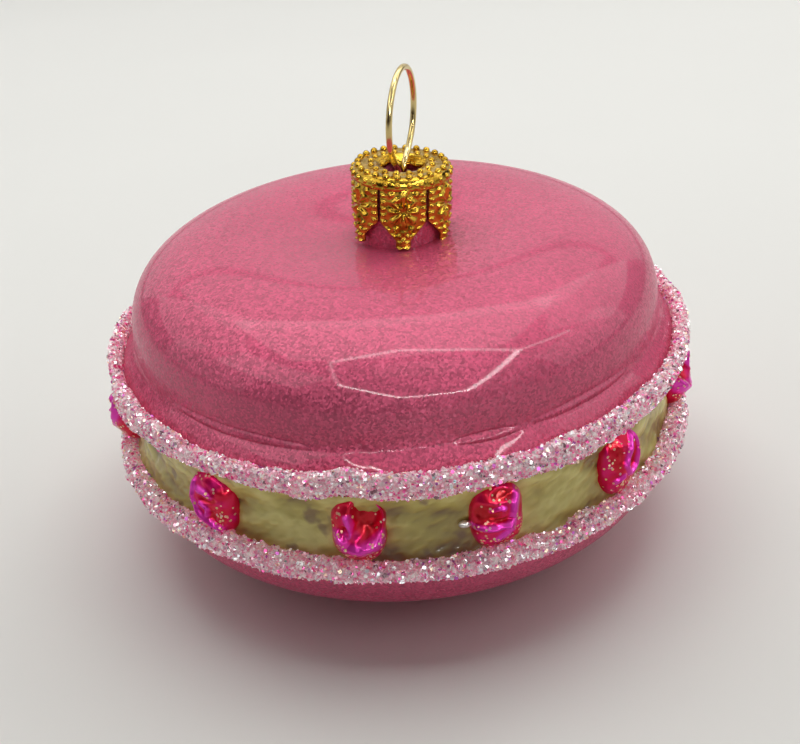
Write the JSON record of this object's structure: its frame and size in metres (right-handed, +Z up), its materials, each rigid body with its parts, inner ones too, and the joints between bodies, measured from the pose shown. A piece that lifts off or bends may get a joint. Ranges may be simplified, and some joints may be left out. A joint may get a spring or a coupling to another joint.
{
  "type": "glass christmas ornament shaped like a macaron",
  "caption": "Blown-glass tree ornament in the shape of a pink macaron with a pistachio filling, raspberries, glitter feet, a gold cap and a wire hanger loop.",
  "frame": {"origin": "on the resting surface, under the middle of the round glass body", "axes": "+Z up through the body towards the cap, -Y towards the front, +X to the right seen from the front"},
  "size_m": [0.0787, 0.0789, 0.062],
  "materials": {
    "pink_glass": "satin pearly rose lacquer over blown glass, opaque, with fine sparkle",
    "painted_filling": "glossy pistachio green brushed lacquer over glass, opaque",
    "glitter": "coarse white, pink and silver glitter crust",
    "raspberry_lacquer": "glossy metallic magenta lacquer with fine glitter, opaque",
    "gold_cap": "stamped bright gold foil metal",
    "gold_wire": "polished pale gold wire"
  },
  "bodies": {
    "root": {"glass_body": "pink_glass", "filling_band": "painted_filling", "upper_glitter_foot": "glitter", "lower_glitter_foot": "glitter", "cap": "gold_cap", "hanger_loop": "gold_wire", "raspberry_01": "raspberry_lacquer", "raspberry_02": "raspberry_lacquer", "raspberry_03": "raspberry_lacquer", "raspberry_04": "raspberry_lacquer", "raspberry_05": "raspberry_lacquer", "raspberry_06": "raspberry_lacquer", "raspberry_07": "raspberry_lacquer", "raspberry_08": "raspberry_lacquer", "raspberry_09": "raspberry_lacquer", "raspberry_10": "raspberry_lacquer"}
  },
  "joints": []
}
